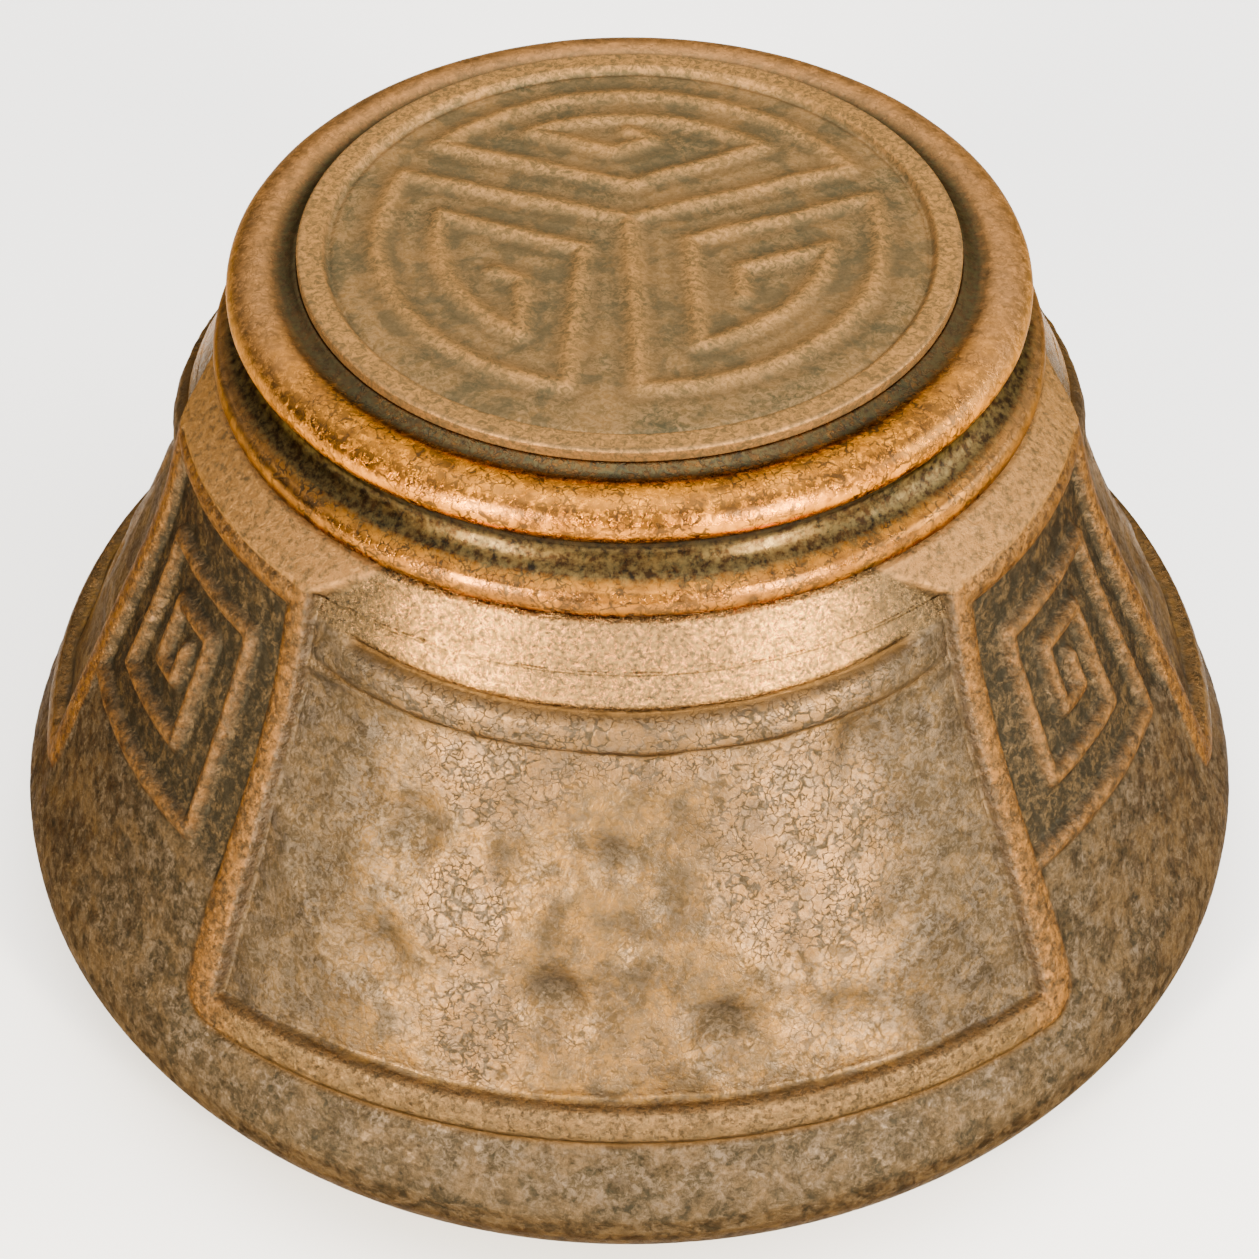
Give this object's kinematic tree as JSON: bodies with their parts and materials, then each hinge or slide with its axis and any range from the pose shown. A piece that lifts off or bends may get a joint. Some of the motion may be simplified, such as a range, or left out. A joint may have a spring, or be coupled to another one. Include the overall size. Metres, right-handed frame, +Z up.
{
  "type": "inkwell",
  "caption": "Round cast-bronze inkwell: flared body with hammered and key-fret panels, hinged relief lid over a lift-out glass pot.",
  "frame": {"origin": "centre of the felt pad's underside, on the table", "axes": "+Z up; the front plain panel faces -Y; the hinge is at +Y"},
  "size_m": [0.1642, 0.1642, 0.0984],
  "materials": {
    "patinated_bronze": "hammered cast bronze, brown patina, worn bright on the ribs",
    "lid_bronze": "turned cast bronze, orange-brown patina, polished by handling",
    "relief_bronze": "cast relief, matte brown patina",
    "hinge_brass": "satin, darkened",
    "collar_brass": "turned, satin",
    "pot_glass": "clear pressed glass",
    "plate_bronze": "dull sheet",
    "green_felt": "wool felt"
  },
  "bodies": {
    "body": {"body_shell": "patinated_bronze", "body_hinge_leaf": "hinge_brass", "hinge_pin": "hinge_brass", "body_leaf_screw_left": "hinge_brass", "body_leaf_screw_right": "hinge_brass", "pot_collar": "collar_brass", "glass_pot": "pot_glass", "base_plate": "plate_bronze", "base_screw_1": "hinge_brass", "base_screw_2": "hinge_brass", "base_screw_3": "hinge_brass", "felt_pad": "green_felt"},
    "lid": {"lid_cap": "lid_bronze", "lid_medallion": "relief_bronze", "lid_hinge_leaf": "hinge_brass", "lid_leaf_screw_left": "hinge_brass", "lid_leaf_screw_right": "hinge_brass"}
  },
  "joints": [
    {"name": "lid_hinge", "type": "hinge", "parent": "body", "child": "lid", "pos_m": [0, 0.0542, 0.0865], "axis": [-1, 0, 0], "range_deg": [0, 105]}
  ]
}
